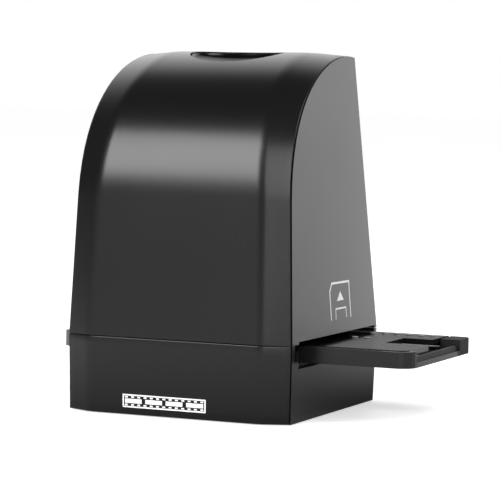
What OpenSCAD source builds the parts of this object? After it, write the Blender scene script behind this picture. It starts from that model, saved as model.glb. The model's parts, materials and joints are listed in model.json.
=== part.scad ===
// Film negative scanner: a tall case with a curved front, a film holder that slides
// through a slot across the base, a camera looking down on the film from above, a
// backlight below it, and one oval scan button on the top.
// Millimetres. Origin: centre of the flat pad the case stands on. +Z up, -Y is the
// front, +X is the side the holder comes out of.

/* [Case] */
// Width across the ridge, the widest line of the case
body_w = 85; // [80:0.5:96]
// Depth across the ridge
body_d = 85; // [84:0.5:96]
// Height from the table to the top
body_h = 127; // [124:0.5:140]
// How far each side leans in from the ridge to the top
side_lean = 3.9; // [0.5:0.1:6.5]
// How far each side draws in from the ridge down to the foot
foot_side = 0.4; // [0:0.1:2.5]
// Angle at which the back leans forward above the ridge
back_angle = 10.5; // [7:0.25:10.75]
// How far the back draws in from the ridge down to the foot
foot_back = 1.4; // [0:0.1:3]
// How far the front draws in from the ridge down to the foot
foot_front = 0.5; // [0:0.1:3]
// Height of the ridge above the slot's floor
ridge_over_slot = 8.4; // [8:0.1:9]
// Wall thickness of the case
shell_t = 2.2; // [1.8:0.1:2.6]
// Gap at each parting line
seam = 0.2; // [0.1:0.05:0.3]
// Thickness of the floor
floor_t = 2.6; // [2:0.1:3.2]

/* [Front curve] */
// Height where the straight front starts to curve back
nose_z = 76.5; // [70:0.5:82]
// How far the straight front leans back
front_lean = 2.65; // [1:0.05:5]
// Upper reach of the curve, along the straight front
nose_rise = 37.5; // [30:0.5:42]
// Rear reach of the curve, along the top
nose_run = 20; // [14:0.5:26]
// Length of the flat top behind the curve
top_flat = 10; // [6:0.5:14]
// Width of the bevel at each front corner
bevel_w = 9.8; // [7:0.1:12]
// Depth of the bevel at the ridge
bevel_low = 4.4; // [3:0.1:6]
// Depth of the bevel where the curve starts
bevel_mid = 3.4; // [2:0.1:5]
// Depth of the bevel on the top
bevel_top = 1.2; // [0.8:0.1:2]

/* [Slot] */
// Height of the slot's floor above the table
slot_z = 18.8; // [18.6:0.1:20]
// Height of the slot
slot_h = 9.3; // [9.1:0.1:10]
// Space in the slot in front of the holder
slot_front = 6.6; // [5:0.1:7]
// Space in the slot behind the holder
slot_back = 2.2; // [1.5:0.1:2.4]
// Length of the low notch in front of the slot
notch_l = 3.6; // [2:0.1:3.8]
// Rise from the slot's floor to the notch's floor
notch_up = 2.6; // [1:0.1:4]

/* [Film holder] */
// Length of the holder
holder_l = 134.1; // [130:0.5:150]
// Distance from the front of the case back to the holder
holder_front = 17.1; // [16.5:0.1:17.8]
// Distance from the holder back to the rear of the case
holder_back = 4.5; // [4.2:0.1:5.2]
// Thickness of the closed holder
holder_t = 5.9; // [5.6:0.1:6.2]
// How far the holder stands out past the middle of the case, at its far end
holder_out = 80.5; // [76:0.5:90]
// Thickness of the holder's base plate
plate_t = 1.8; // [1.4:0.1:2]
// Thickness of the holder's lid plate
lid_t = 1.8; // [1.4:0.1:2]
// Thickness of the holder's upright walls
holder_wall = 2.2; // [1.6:0.1:2.6]
// Length of one film window
window_l = 36.4; // [34:0.2:37]
// Width of one film window
window_w = 24.4; // [22:0.2:26]
// Distance between the two film windows
pitch = 38; // [38:0.1:40]
// Corner radius of the holder
holder_r = 6; // [4:0.5:8]
// Length of the finger notch in the end of the lid
finger_l = 16; // [10:0.5:18]
// Width of the finger notch
finger_w = 19.5; // [14:0.5:22]
// Radius of the hinge pins of the lid
hinge_r = 1; // [0.8:0.05:1.1]

/* [Scan button] */
// Length of the button's well across the case
well_l = 35.2; // [30:0.2:38]
// Width of the button's well from front to back
well_w = 27.6; // [24:0.2:28]
// Distance from the rear edge of the top forward to the middle of the button
button_back = 16.4; // [16.2:0.1:17]
// Gap round the button in its well
button_gap = 0.6; // [0.4:0.05:1]
// Radius of the button's dished face
dish_r = 24; // [23:0.5:30]
// Depth of the dish below its rim
dish_deep = 3.6; // [2:0.1:3.8]
// How far the button's rim lies below the face of the cover
rim_in = 0.3; // [0.1:0.05:0.6]
// How far the button goes down
press = 1; // [0.6:0.1:1.2]
// Radius of the button's stem
stem_r = 3; // [2.5:0.1:3.5]

/* [Camera] */
// Distance from the film to the image sensor
film_to_sensor = 64.8; // [62:0.2:66]
// Width of the shroud's lower stage
shroud_l = 48; // [46:0.5:52]
// Depth of the shroud's lower stage
shroud_w = 33; // [32:0.5:37]
// Radius of the lens barrel
barrel_r = 6; // [5:0.1:6.5]
// Thickness of each circuit board
board_t = 1.6; // [1.2:0.1:2]

/* [Backlight] */
// Length of the diffuser
diffuser_l = 44; // [42:0.5:46]
// Width of the diffuser
diffuser_w = 32; // [30:0.5:34]
// Thickness of the diffuser
diffuser_t = 2; // [1:0.1:2.4]
// Lamps along the board
led_nx = 4; // [3:1:5]
// Lamps across the board
led_ny = 3; // [2:1:4]

/* [Hidden] */
$fn = 48;

far = 200;          // reach of a cut that has to pass right through
fit = 0.05;         // running clearance of a shaft in its bore
play = 0.3;         // gap between pieces that move past each other
pad_proud = 0.3;    // how far the rubber pad stands below the floor
base_z = pad_proud; // underside of the case
floor_z = base_z + floor_t;
ridge_z = slot_z + ridge_over_slot;
rear = body_d / 2;
front = -body_d / 2;
top_w = body_w - 2 * side_lean;
foot_w = body_w - 2 * foot_side;
back_lean = (body_h - ridge_z) * tan(back_angle);
button_y = rear - back_lean - button_back;

function mix(a, b, u) = a + (b - a) * u;
function above(z) = (z - ridge_z) / (body_h - ridge_z);
function below(z) = (z - base_z) / (ridge_z - base_z);
function half_w(z) = z > ridge_z ? mix(body_w, top_w, above(z)) / 2
                                 : mix(foot_w, body_w, below(z)) / 2;
function rear_y(z) = z > ridge_z ? rear - back_lean * above(z)
                                 : rear - foot_back * (1 - below(z));

// ---- the curved front, as rows of [y, z, normal y, normal z, bevel depth] ----
curve_n = 18;
crest_y = rear - back_lean - top_flat;
nose_0 = [front + front_lean, nose_z];
nose_dir = [front_lean, nose_z - ridge_z] / norm([front_lean, nose_z - ridge_z]);
nose_1 = nose_0 + nose_dir * nose_rise;
nose_3 = [crest_y, body_h];
nose_2 = nose_3 - [nose_run, 0];
function bez(t) = nose_0 * pow(1 - t, 3) + nose_1 * 3 * t * pow(1 - t, 2)
                  + nose_2 * 3 * t * t * (1 - t) + nose_3 * pow(t, 3);
function slope(t) = (nose_1 - nose_0) * pow(1 - t, 2) + (nose_2 - nose_1) * 2 * t * (1 - t)
                    + (nose_3 - nose_2) * t * t;
function row(p, d, bevel) = [p[0], p[1], -d[1] / norm(d), d[0] / norm(d), bevel];
cover_rows = concat(
    [[front, ridge_z, -1, 0, bevel_low]],
    [for (i = [0 : curve_n]) let (t = i / curve_n)
        row(bez(t), slope(t), mix(bevel_mid, bevel_top, t * t))],
    [row([rear - back_lean, body_h], [cos(back_angle), sin(back_angle)], bevel_top)]);
base_rows = [[front + foot_front, base_z, -1, 0, bevel_low],
             [front, ridge_z - seam, -1, 0, bevel_low]];

// A point of a row, moved in from the face by s
function inset(r, s) = [r[0] - r[2] * s, r[1] - r[3] * s];
// The same point at x = side of the case, less dx
function edge(r, s, side, dx) = let (p = inset(r, s)) [side * (half_w(p[1]) - dx), p[0], p[1]];

// Solid swept through rings that all have the same count of points
module loft(rings) {
    n = len(rings[0]);
    last = len(rings) - 1;
    sides = [for (i = [0 : last - 1], j = [0 : n - 1])
        [i * n + j, i * n + (j + 1) % n, (i + 1) * n + (j + 1) % n, (i + 1) * n + j]];
    caps = [[for (j = [n - 1 : -1 : 0]) j], [for (j = [0 : n - 1]) last * n + j]];
    polyhedron(points = [for (r = rings, p = r) p], faces = concat(sides, caps), convexity = 6);
}

// Front wall with its two bevels, mitred to the side walls
module front_band(rows, t) {
    loft([for (r = rows) [
        edge(r, r[4], -1, 0), edge(r, r[4] + t, -1, t), edge(r, t, -1, bevel_w), edge(r, t, 1, bevel_w),
        edge(r, r[4] + t, 1, t), edge(r, r[4], 1, 0), edge(r, 0, 1, bevel_w), edge(r, 0, -1, bevel_w)]]);
}

// Everything in front of the mitred joint, for cutting the front off a shell
module front_zone(rows, t) {
    out = 30;
    lip = 3;
    in = t + 0.3;       // the mitre runs on past the inside of the wall
    loft([for (r = rows) let (b = r[4] + seam) [
        edge(r, -out, -1, -lip), edge(r, b - lip, -1, -lip),
        edge(r, b + in, -1, in), edge(r, seam + t, -1, bevel_w),
        edge(r, seam + t, 1, bevel_w), edge(r, b + in, 1, in),
        edge(r, b - lip, 1, -lip), edge(r, -out, 1, -lip)]]);
}

// Prism along X over an outline in y and z
module along_x(outline, l) {
    rotate([90, 0, 90]) linear_extrude(height = l, center = true) polygon(outline);
}

// Prism along Y over an outline in x and z
module along_y(outline, y0, y1) {
    translate([0, y1, 0]) rotate([90, 0, 0]) linear_extrude(height = y1 - y0) polygon(outline);
}

// Upright case body between two heights, drawn in by t on the sides and the back,
// and carried on past both heights by the share e of its own height
module case_block(z0, z1, t, e = 0) {
    low = mix(z0, z1, -e);
    high = mix(z0, z1, 1 + e);
    w0 = mix(half_w(z0), half_w(z1), -e) - t;
    w1 = mix(half_w(z0), half_w(z1), 1 + e) - t;
    y0 = mix(rear_y(z0), rear_y(z1), -e) - t;
    y1 = mix(rear_y(z0), rear_y(z1), 1 + e) - t;
    intersection() {
        along_y([[-w0, low], [w0, low], [w1, high], [-w1, high]], front - 1, rear + 1);
        along_x([[front - 1, low], [y0, low], [y1, high], [front - 1, high]], far);
    }
}

// Children in the frame of the leaning back: z up along it, -y inwards from its face
module on_back() {
    translate([0, rear, ridge_z]) rotate([back_angle, 0, 0]) children();
}
// A point of that frame in y and z: v up along the back, d in from its face
function back_pt(v, d) = [rear - v * sin(back_angle) - d * cos(back_angle),
                          ridge_z + v * cos(back_angle) - d * sin(back_angle)];

// Box centred in x and y, standing on z0
module block(x, y, z0, h) {
    translate([0, 0, z0 + h / 2]) cube([x, y, h], center = true);
}

// Rod along X
module rod_x(r, x0, x1) {
    translate([x0, 0, 0]) rotate([0, 90, 0]) cylinder(r = r, h = x1 - x0);
}

// Pan-head screw: head up from the origin, shank down
module screw(head_r, head_h, r, l) {
    cylinder(r = head_r, h = head_h);
    translate([0, 0, -l]) cylinder(r = r, h = l + head_h / 2);
}

// Children at the four corners of a rectangle
module corners(x, y) {
    for (sx = [-1, 1], sy = [-1, 1]) translate([sx * x, sy * y, 0]) children();
}

// ---- the film holder's place ----
holder_z = slot_z + 1.6;                  // underside of the holder
holder_top = holder_z + holder_t;
holder_y0 = front + holder_front;         // front face of the holder
holder_y1 = rear - holder_back;
holder_w = holder_y1 - holder_y0;
film_y = (holder_y0 + holder_y1) / 2;     // middle of the film
holder_x0 = holder_out - holder_l;
wall_top = holder_top - play;             // top of the holder's own walls
film_z = holder_z + plate_t;
slot_y0 = holder_y0 - slot_front;
slot_y1 = holder_y1 + slot_back;
slot_top = slot_z + slot_h;

// The slot as cut through both side walls, with the low notch at its front
module slot_cut() {
    notch = slot_z + notch_up;
    for (sx = [-1, 1]) translate([sx * body_w / 2, 0, 0])
        along_x([[slot_y0, slot_z], [slot_y1, slot_z], [slot_y1, slot_top], [slot_y0, slot_top],
                 [slot_y0, ridge_z], [slot_y0 - notch_l, ridge_z], [slot_y0 - notch_l, notch],
                 [slot_y0, notch]], 4 * shell_t);
}

// ---- case screws ----
column_r = 4;
screw_x = body_w / 2 - column_r - 3;
screw_y = front + column_r + 7;
screw_r = 1.4;
screw_head_r = 2.7;
screw_head_h = 1.6;
boss_h = 10;        // height of the cover's screw boss above the ridge
boss_rib_t = 1.6;
head_z = base_z + 2;
bevel_y = front + bevel_low * (screw_x - body_w / 2 + bevel_w) / bevel_w;  // face of the bevel there

// ---- channel, camera shroud and lamp heights ----
channel_t = 2;
channel_z = holder_z - play - channel_t;
rail_h = 4.5;
rail_t = 1;
gate_z = slot_top - 0.1;   // underside of the shroud's foot plate, over the holder
gate_t = 2;
inner_half = half_w(slot_z) - shell_t - play;
channel_y0 = slot_y0 - 1.5;
channel_y1 = holder_y1 + play + rail_t;
post_r = 3;
pilot_r = 1.1;
small_head_r = 2.2;
small_head_h = 1.2;
small_screw_l = 6;
board_head_r = 2;
screw_gap = 0.3;    // round a screw's shank in the piece it holds
leaf_l = 22;        // detent spring, in a pocket of the channel
leaf_w = 4;
leaf_t = 0.3;
leaf_foot = 5;
leaf_deep = 1;
leaf_y = holder_y0 + 5.4;
nose_r = 1.2;
nose_up = 0.5;
nose_gap = 0.15;    // under the holder
groove_r = 1.4;
channel_px = 23.5;
channel_screw_l = 7;
channel_py0 = slot_y0 + 2.2;
channel_py1 = holder_y1 - 4.5;

pad_size = 56;
pad_r = 6;
pad_t = 1.3;
pad_gap = 0.1;      // round the pad in its recess

// ---- where the case's pieces reach in behind one another ----
lap_gap = 0.15;
lip_t = 1.2;
lip_up = 0.6;       // the lips and ribs start this far above the ridge
lip_reach = 3.4;    // along the side wall, past the cover's own wall
tongue_l = 64;
tongue_t = 0.9;
tongue_up = 3;
tab_x = 15;         // tabs of the base front on the tub's floor
tab_w = 8;
tab_reach = 5.4;
tab_t = 1.6;

// Rounded square, for the pad and its recess
module pad_shape(grow, z0, h) {
    side = pad_size / 2 - pad_r;
    translate([0, 0, z0]) linear_extrude(height = h) union() {
        square([pad_size + 2 * grow, 2 * side], center = true);
        square([2 * side, pad_size + 2 * grow], center = true);
        for (sx = [-1, 1], sy = [-1, 1]) translate([sx * side, sy * side]) circle(r = pad_r + grow);
    }
}

// ---- backlight ----
led_board_z = floor_z + 2.5;
led_z = led_board_z + board_t;
box_wall = 2;
box_l = diffuser_l + 2 * box_wall;
box_w = diffuser_w + 2 * box_wall;
box_top = channel_z - play;
ledge = 1.6;
led_ear = 7;        // the lamp board runs on past each end of the box
led_edge = 0.5;     // and past its long sides
led_board_l = box_l + 2 * led_ear;
led_board_w = box_w + 2 * led_edge;
led_px = box_l / 2 + led_ear / 2;
led_py = box_w / 2 - 5;
led_screw_l = 3.6;
lamp_l = 3.5;
lamp_w = 2.8;
lamp_h = 1.2;
lamp_dome_r = 1.1;
lamp_dome_h = 0.5;
lamps_in_x = 6;     // the lamps fill the diffuser's area but for these margins
lamps_in_y = 4;

// ---- camera ----
sensor_board_z = film_z + film_to_sensor + 1.2;
shroud_step_z = gate_z + 24;
shroud_top_z = sensor_board_z - 13;
shroud_wall = 1.8;
neck_l = 34;
neck_w = 24;
mount_w = 16;
mount_h = 5;
mount_r = 7.6;
mount_wall = 2;
mount_hollow = 3.4; // room for the sensor under its board
mount_low_z = sensor_board_z - 12;
barrel_low = mount_low_z - 6;
barrel_h = 14;
collar_l = 5.7;     // knurled front of the barrel
glass_r = 4.2;
glass_t = 1.6;
glass_in = 0.4;     // the glass sits this far inside the barrel
sensor_board_l = 44;
sensor_board_w = 22;
sensor_px = neck_l / 2 + 2;
sensor_py = 8;
shroud_px = 17;
foot_l = 52;
lug_x = 21;
lug_z = gate_z + 7;
lug_boss = 6;       // length of the boss on the back wall
lug_y = rear_y(lug_z) - shell_t - lug_boss;
lug_t = 2.4;
lug_w = 8;

// ---- main board, in the frame of the back ----
main_d = 8.2;       // from the outer face of the back to the board
standoff_r = 2.8;
chip_v = 16;        // foot of the chips above the board's lower edge
chip_w = 13;
processor_x = 4;
processor_l = 13;
processor_t = 1.4;
memory_x = -19;
memory_l = 10;
memory_t = 1.1;
main_l = 56;
main_v0 = 15;
main_h = 40;
main_px = main_l / 2 - 4;
main_pv0 = main_v0 + 4;
main_pv1 = main_v0 + main_h - 4;
usb_v = main_v0 + 7;
usb_l = 8.4;
usb_h = 4.2;
ribbon_d = main_d - 1.4;
ribbon_v = main_v0 + main_h - 6;
ribbon_t = 0.3;
ribbon_w = 10;
socket_wall = 1.5;
socket_t = 2.2;
socket_w = 3.4;
socket_low = 3;
ribbon_on = 7;      // length that lies on the sensor's board
button_ribbon_x = -14;
button_ribbon_on = 4;
button_ribbon_turn = 3;

// ---- scan button ----
cup_wall = 1.6;
cup_deep = 11.5;
cup_floor = body_h - cup_deep;    // upper face of the cup's floor
cup_floor_t = 1.8;
guide_z = cup_floor - 2.9;        // lower end of the guide tube
button_low = cup_floor + press + 0.5;
pocket_r = stem_r + 3;
pocket_z = button_low + 3;
collar_h = 1.2;
collar_out = 0.9;
guide_wall = 2.2;
stem_low = guide_z - play - collar_h;
plunger_r = 1.75;
plunger_h = 2.9;
switch_w = 7;
switch_h = 3.5;
button_board_t = 1.2;
plunger_top = stem_low - play;
switch_z = plunger_top - plunger_h + 1.3 - switch_h;
button_board_z = switch_z - button_board_t;
button_board_l = 32;
button_board_w = 14;
leg_x = 12;
leg_r = 2.2;
button_screw_l = 5;

// The cover's profile in y and z, s below its face, as far down as z = low
function cover_line(s, low) = [for (i = [1 : len(cover_rows) - 2])
    let (p = inset(cover_rows[i], s)) if (p[1] > low) p];

// Upright oval prism round the button's centre
module oval(l, w, z0, h) {
    steps = 72;
    translate([0, button_y, z0]) linear_extrude(height = h)
        polygon([for (i = [0 : steps - 1]) [l / 2 * cos(i * 360 / steps), w / 2 * sin(i * 360 / steps)]]);
}

// ================= case =================

module base_tub() {
    top = ridge_z - seam;
    color([0.16, 0.16, 0.17]) difference() {
        union() {
            difference() {
                case_block(base_z, top, 0);
                intersection() {
                    case_block(base_z, top, shell_t, 0.05);
                    block(far, far, floor_z, far);
                }
                front_zone([[front + foot_front, base_z - 1, -1, 0, bevel_low],
                            [front, top + 1, -1, 0, bevel_low]], shell_t);
            }
            // posts under the channel, the lamp board and the cover's bosses
            for (sx = [-1, 1]) {
                for (y = [channel_py0, channel_py1]) translate([sx * channel_px, y, floor_z - 1])
                    cylinder(r = post_r, h = channel_z - floor_z + 1);
                translate([sx * screw_x, screw_y, floor_z - 1])
                    cylinder(r = column_r, h = top - floor_z + 1);
            }
            translate([0, film_y, floor_z - 1]) corners(led_px, led_py)
                cylinder(r = post_r - 0.4, h = led_board_z - floor_z + 1);
            // tongue that stands up inside the back wall
            tongue();
        }
        slot_cut();
        pad_shape(pad_gap, -1, 1 + pad_t);
        for (sx = [-1, 1]) {
            translate([sx * screw_x, screw_y, -1]) cylinder(r = screw_r + 0.2, h = far);
            translate([sx * screw_x, screw_y, -1]) cylinder(r = screw_head_r + play, h = head_z + 1);
            for (y = [channel_py0, channel_py1]) translate([sx * channel_px, y, floor_z + 3])
                cylinder(r = pilot_r, h = far);
        }
        translate([0, film_y, floor_z]) corners(led_px, led_py) cylinder(r = pilot_r, h = far);
    }
}

// The tub's tongue: a strip inside the back wall, with its root on the tub's wall
module tongue() {
    z0 = ridge_z - 2;
    z1 = ridge_z + tongue_up;
    d = shell_t + lap_gap;
    in_wall = 0.5;
    along_x([[rear_y(z0) - d, z0 - tongue_t], [rear_y(z0) - in_wall, z0 - tongue_t],
             [rear_y(z0) - in_wall, ridge_z - seam], [rear_y(ridge_z) - d, ridge_z - seam],
             [rear_y(z1) - d, z1], [rear_y(z1) - d - tongue_t, z1],
             [rear_y(z0) - d - tongue_t / 2, z0]], tongue_l);
}

module base_front() {
    color([0.21, 0.21, 0.22]) union() {
        front_band(base_rows, shell_t);
        // tabs that lie on the floor of the tub
        for (sx = [-1, 1]) translate([sx * tab_x - tab_w / 2, front + shell_t - 0.6, floor_z])
            cube([tab_w, tab_reach + 0.6, tab_t]);
    }
}

module front_cover() {
    color([0.20, 0.20, 0.21]) difference() {
        union() {
            front_band(cover_rows, shell_t);
            // lips that reach in behind the side walls
            for (side = [-1, 1]) cover_lip(side);
            for (sx = [-1, 1]) {
                translate([sx * screw_x, screw_y, ridge_z]) cylinder(r = column_r, h = boss_h);
                translate([sx * screw_x - boss_rib_t / 2, bevel_y + shell_t / 2, ridge_z + lip_up])
                    cube([boss_rib_t, screw_y - bevel_y - shell_t, boss_h - lip_up]);
            }
        }
        oval(well_l, well_w, cup_floor, far);
        for (sx = [-1, 1]) translate([sx * screw_x, screw_y, ridge_z - 1])
            cylinder(r = screw_r, h = boss_h);
    }
}

// Lip along one side of the cover, from the bevel in behind the side wall
module cover_lip(side) {
    gap = shell_t + lap_gap;
    foot = row([front, ridge_z + lip_up], [0, 1], bevel_low);
    rows = concat([foot], [for (i = [1 : len(cover_rows) - 2]) cover_rows[i]]);
    ring = [for (r = rows) let (b = r[4] + shell_t) [
        edge(r, b - lip_t / 2, side, gap + lip_t / 3), edge(r, b + lip_reach, side, gap),
        edge(r, b + lip_reach, side, gap + lip_t), edge(r, b - lip_t, side, gap + lip_t)]];
    if (side > 0) mirror([1, 0, 0]) loft([for (r = ring) [for (p = r) [-p[0], p[1], p[2]]]]);
    else loft(ring);
}

module rear_housing() {
    last = cover_rows[len(cover_rows) - 1];
    zone_rows = concat([[front, ridge_z - 2, -1, 0, bevel_low]], cover_rows,
                       [[last[0] + 4, last[1], last[2], last[3], last[4]]]);
    color([0.22, 0.22, 0.23]) difference() {
        union() {
            difference() {
                case_block(ridge_z, body_h, 0);
                case_block(ridge_z, body_h, shell_t, 0.05);
                front_zone(zone_rows, shell_t);
            }
            // standoffs for the main board
            on_back() for (sx = [-1, 1], v = [main_pv0, main_pv1])
                translate([sx * main_px, -main_d, v]) rotate([-90, 0, 0])
                    cylinder(r = standoff_r, h = main_d - shell_t / 2);
            // bosses for the lugs of the camera shroud
            for (sx = [-1, 1]) translate([sx * lug_x, lug_y, lug_z]) rotate([-90, 0, 0])
                cylinder(r = post_r, h = lug_boss + shell_t / 2);
        }
        slot_cut();
        on_back() {
            for (sx = [-1, 1], v = [main_pv0, main_pv1]) translate([sx * main_px, -main_d - 1, v])
                rotate([-90, 0, 0]) cylinder(r = pilot_r, h = main_d - shell_t);
            translate([0, 0, usb_v])
                cube([usb_l + 2 * play, 2 * main_d - 2, usb_h + 2 * play], center = true);
        }
        for (sx = [-1, 1]) translate([sx * lug_x, lug_y - 1, lug_z]) rotate([-90, 0, 0])
            cylinder(r = pilot_r, h = lug_boss - 1);
    }
}

module rubber_pad() {
    color([0.06, 0.06, 0.06]) pad_shape(0, 0, pad_t);
}

module case_screws() {
    color([0.55, 0.55, 0.57]) for (sx = [-1, 1]) translate([sx * screw_x, screw_y, head_z])
        mirror([0, 0, 1]) screw(screw_head_r, screw_head_h, screw_r, ridge_z + boss_h - 3 - head_z);
}

// ================= channel and backlight =================

module holder_channel() {
    aperture = [diffuser_l - 4, diffuser_w - 4];
    color([0.12, 0.12, 0.12]) difference() {
        union() {
            translate([-inner_half, channel_y0, channel_z])
                cube([2 * inner_half, channel_y1 - channel_y0, channel_t]);
            translate([-inner_half, holder_y0 - play - rail_t - 1, channel_z])
                cube([2 * inner_half, rail_t + 1, channel_t + rail_h]);
            translate([-inner_half, holder_y1 + play, channel_z])
                cube([2 * inner_half, rail_t, channel_t + rail_h]);
            // columns that carry the front of the camera shroud
            for (sx = [-1, 1]) translate([sx * shroud_px, channel_py0, channel_z])
                cylinder(r = post_r, h = gate_z - channel_z);
        }
        translate([0, film_y, 0]) block(aperture[0], aperture[1], channel_z - 1, far);
        for (sx = [-1, 1]) {
            for (y = [channel_py0, channel_py1]) translate([sx * channel_px, y, 0]) {
                cylinder(r = pilot_r + screw_gap, h = far);
                translate([0, 0, holder_z - play - small_head_h]) cylinder(r = small_head_r + 0.2, h = far);
            }
            translate([sx * shroud_px, channel_py0, gate_z - 5]) cylinder(r = pilot_r, h = far);
            // the case's own screw columns pass in front
            translate([sx * screw_x, screw_y, 0]) cylinder(r = column_r + play, h = far);
        }
        // pocket for the detent spring
        translate([-leaf_l / 2 - 0.5, leaf_y - leaf_w / 2 - 0.3, holder_z - play - leaf_deep])
            cube([leaf_l + 1, leaf_w + 0.6, far]);
    }
}

module channel_screws() {
    color([0.6, 0.6, 0.62]) for (sx = [-1, 1], y = [channel_py0, channel_py1])
        translate([sx * channel_px, y, holder_z - play - small_head_h])
            screw(small_head_r, small_head_h - 0.1, pilot_r, channel_screw_l);
}

// Flat spring with a rounded nose that clicks into the grooves under the holder
module detent_spring() {
    z = holder_z - play - leaf_deep;
    color([0.75, 0.75, 0.77]) translate([0, leaf_y, z]) union() {
        for (sx = [-1, 1]) translate([sx * (leaf_l - leaf_foot) / 2, 0, 0])
            block(leaf_foot, leaf_w, 0, leaf_t);
        along_y_strip([[-leaf_l / 2 + leaf_foot - 1, 0], [-nose_r - 1, nose_up], [nose_r + 1, nose_up],
                       [leaf_l / 2 - leaf_foot + 1, 0]], leaf_t, leaf_w);
        intersection() {
            translate([0, 0, leaf_deep + play - nose_gap - nose_r]) rotate([90, 0, 0])
                cylinder(r = nose_r, h = leaf_w, center = true);
            block(4 * nose_r, leaf_w, nose_up, 2 * nose_r);
        }
    }
}

// Strip of thickness t over a line of points in x and z, width w along Y
module along_y_strip(line, t, w) {
    translate([0, w / 2, 0]) rotate([90, 0, 0]) linear_extrude(height = w)
        polygon(concat(line, [for (i = [len(line) - 1 : -1 : 0]) line[i] + [0, t]]));
}

module light_box() {
    color([0.9, 0.9, 0.88]) translate([0, film_y, 0]) difference() {
        block(box_l, box_w, led_z, box_top - led_z);
        block(diffuser_l - 2 * ledge, diffuser_w - 2 * ledge, led_z - 1, far);
        block(diffuser_l + 0.2, diffuser_w + 0.2, box_top - diffuser_t, far);
    }
}

module diffuser() {
    color([0.95, 0.95, 0.95]) translate([0, film_y, 0])
        block(diffuser_l, diffuser_w, box_top - diffuser_t, diffuser_t);
}

module led_board() {
    color([0.75, 0.78, 0.75]) translate([0, film_y, 0]) difference() {
        block(led_board_l, led_board_w, led_board_z, board_t);
        corners(led_px, led_py) cylinder(r = pilot_r + screw_gap, h = far);
    }
}

module backlight_leds() {
    dx = (diffuser_l - 2 * lamps_in_x) / led_nx;
    dy = (diffuser_w - 2 * lamps_in_y) / led_ny;
    color([0.95, 0.9, 0.6]) translate([0, film_y, 0])
        for (i = [0 : led_nx - 1], j = [0 : led_ny - 1])
            translate([(i - (led_nx - 1) / 2) * dx, (j - (led_ny - 1) / 2) * dy, 0]) {
                block(lamp_l, lamp_w, led_z, lamp_h);
                translate([0, 0, led_z + lamp_h]) cylinder(r = lamp_dome_r, h = lamp_dome_h);
            }
}

module led_board_screws() {
    color([0.6, 0.6, 0.62]) translate([0, film_y, led_z]) corners(led_px, led_py)
        screw(small_head_r, small_head_h, pilot_r, led_screw_l);
}

// ================= camera =================

module camera_shroud() {
    color([0.08, 0.08, 0.08]) difference() {
        union() {
            // foot plate over the film
            translate([-foot_l / 2, channel_py0 - post_r, gate_z])
                cube([foot_l, lug_y - channel_py0 + post_r, gate_t]);
            translate([0, film_y, 0]) {
                block(shroud_l, shroud_w, gate_z, shroud_step_z - gate_z);
                block(neck_l, neck_w, gate_z, shroud_top_z - gate_z);
                corners(sensor_px, sensor_py) translate([0, 0, shroud_top_z - 8])
                    cylinder(r = 2.4, h = sensor_board_z - shroud_top_z + 8);
            }
            // lugs against the bosses on the back wall
            for (sx = [-1, 1]) translate([sx * lug_x - lug_w / 2, lug_y - lug_t, gate_z])
                cube([lug_w, lug_t, lug_z - gate_z + lug_w / 2]);
        }
        translate([0, film_y, 0]) {
            block(shroud_l - 2 * shroud_wall, shroud_w - 2 * shroud_wall, gate_z - 1,
                  shroud_step_z - shroud_wall - gate_z + 1);
            block(neck_l - 2 * shroud_wall, neck_w - 2 * shroud_wall, gate_z,
                  shroud_top_z - shroud_wall - gate_z);
            cylinder(r = mount_r + 1, h = far);
            corners(sensor_px, sensor_py) translate([0, 0, sensor_board_z - small_screw_l])
                cylinder(r = pilot_r, h = far);
        }
        for (sx = [-1, 1]) {
            translate([sx * shroud_px, channel_py0, 0]) cylinder(r = pilot_r + screw_gap, h = far);
            translate([sx * lug_x, lug_y - 2 * lug_t, lug_z]) rotate([-90, 0, 0])
                cylinder(r = pilot_r + screw_gap, h = 3 * lug_t);
        }
    }
}

module shroud_screws() {
    color([0.6, 0.6, 0.62]) for (sx = [-1, 1]) {
        translate([sx * shroud_px, channel_py0, gate_z + gate_t])
            screw(small_head_r, small_head_h, pilot_r, small_screw_l);
        translate([sx * lug_x, lug_y - lug_t, lug_z]) rotate([90, 0, 0])
            screw(small_head_r, small_head_h, pilot_r, small_screw_l);
    }
}

module lens_mount() {
    color([0.1, 0.1, 0.1]) translate([0, film_y, 0]) difference() {
        union() {
            block(mount_w, mount_w, sensor_board_z - mount_h, mount_h);
            translate([0, 0, mount_low_z])
                cylinder(r = mount_r, h = sensor_board_z - mount_low_z - mount_h + 1);
        }
        translate([0, 0, mount_low_z - 1]) cylinder(r = barrel_r + fit, h = far);
        block(mount_w - 2 * mount_wall, mount_w - 2 * mount_wall, sensor_board_z - mount_hollow, far);
    }
}

module lens_barrel() {
    color([0.05, 0.05, 0.05]) translate([0, film_y, barrel_low]) difference() {
        union() {
            cylinder(r = barrel_r, h = barrel_h);
            cylinder(r = barrel_r + 1, h = collar_l);
        }
        translate([0, 0, -1]) cylinder(r = glass_r - 0.8, h = far);
        translate([0, 0, -1]) cylinder(r = glass_r + 0.1, h = 1 + glass_in + glass_t);
    }
}

module lens_glass() {
    cap = 10;
    color([0.5, 0.6, 0.75]) translate([0, film_y, barrel_low]) intersection() {
        translate([0, 0, glass_in]) cylinder(r = glass_r, h = glass_t);
        translate([0, 0, cap + glass_in]) sphere(r = cap, $fn = 64);
    }
}

module sensor_board() {
    color([0.1, 0.35, 0.2]) translate([0, film_y, 0]) difference() {
        block(sensor_board_l, sensor_board_w, sensor_board_z, board_t);
        corners(sensor_px, sensor_py) cylinder(r = pilot_r + screw_gap, h = far);
    }
}

module image_sensor() {
    color([0.2, 0.25, 0.3]) translate([0, film_y, 0]) union() {
        block(9, 9, sensor_board_z - 1, 1);
        block(6.4, 5, sensor_board_z - 1.2, 0.4);
    }
}

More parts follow.
